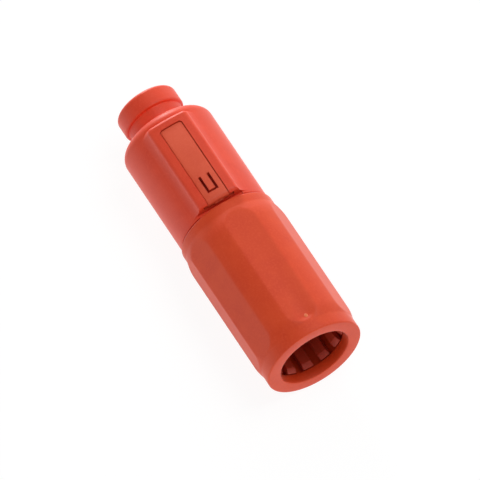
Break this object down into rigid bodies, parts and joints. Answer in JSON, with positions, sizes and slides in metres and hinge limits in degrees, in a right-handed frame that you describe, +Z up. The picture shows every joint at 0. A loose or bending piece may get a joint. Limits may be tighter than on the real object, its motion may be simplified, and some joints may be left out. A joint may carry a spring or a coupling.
{
  "type": "rf coaxial connector",
  "caption": "Straight coaxial cable plug with a turning faceted coupling sleeve, spring fingers in its mouth, and a small lock slide on the housing boss.",
  "frame": {"origin": "centre of the base of the bounding box; the connector's axis runs parallel to the ground above it", "axes": "+X along the connector's axis towards the mating end, +Z up, the coupling sleeve lying on one flat"},
  "size_m": [0.0704, 0.0226, 0.0233],
  "materials": {
    "sleeve_plastic": "moulded, fine spark texture",
    "finger_plastic": "moulded, smooth",
    "housing_plastic": "moulded, fine spark texture",
    "lock_plastic": "moulded, smooth",
    "nickel_plated_brass": "turned, nickel plated",
    "gold_plated_brass": "turned, gold plated",
    "stainless_steel": "stamped or turned, brushed",
    "white_fluoropolymer": "turned, waxy",
    "black_rubber": "moulded",
    "black_nylon": "moulded"
  },
  "bodies": {
    "housing": {"rear_housing": "housing_plastic", "back_nut": "housing_plastic", "connector_body": "nickel_plated_brass", "contact_body": "nickel_plated_brass", "centre_contact": "gold_plated_brass", "rear_insulator": "white_fluoropolymer", "front_insulator": "white_fluoropolymer", "contact_lock_nut": "nickel_plated_brass", "contact_o_ring": "black_rubber", "crimp_ferrule": "stainless_steel", "cable_clamp": "black_nylon", "rear_washer": "stainless_steel", "cable_seal": "black_rubber", "front_washer": "stainless_steel", "thrust_washer": "stainless_steel", "retaining_ring": "stainless_steel", "housing_o_ring": "black_rubber", "sleeve_seal": "black_rubber", "interface_gasket": "black_rubber"},
    "coupling": {"coupling_sleeve": "sleeve_plastic", "finger_ring": "finger_plastic", "bearing_bush": "black_nylon"},
    "lock": {"lock_slide": "lock_plastic"}
  },
  "joints": [
    {"name": "sleeve_turn", "type": "hinge", "parent": "housing", "child": "coupling", "pos_m": [0.012, 0, 0.01125], "axis": [1, 0, 0], "continuous": true},
    {"name": "lock_travel", "type": "slide", "parent": "housing", "child": "lock", "axis": [1, 0, 0], "range_m": [0, 0.0006]}
  ]
}
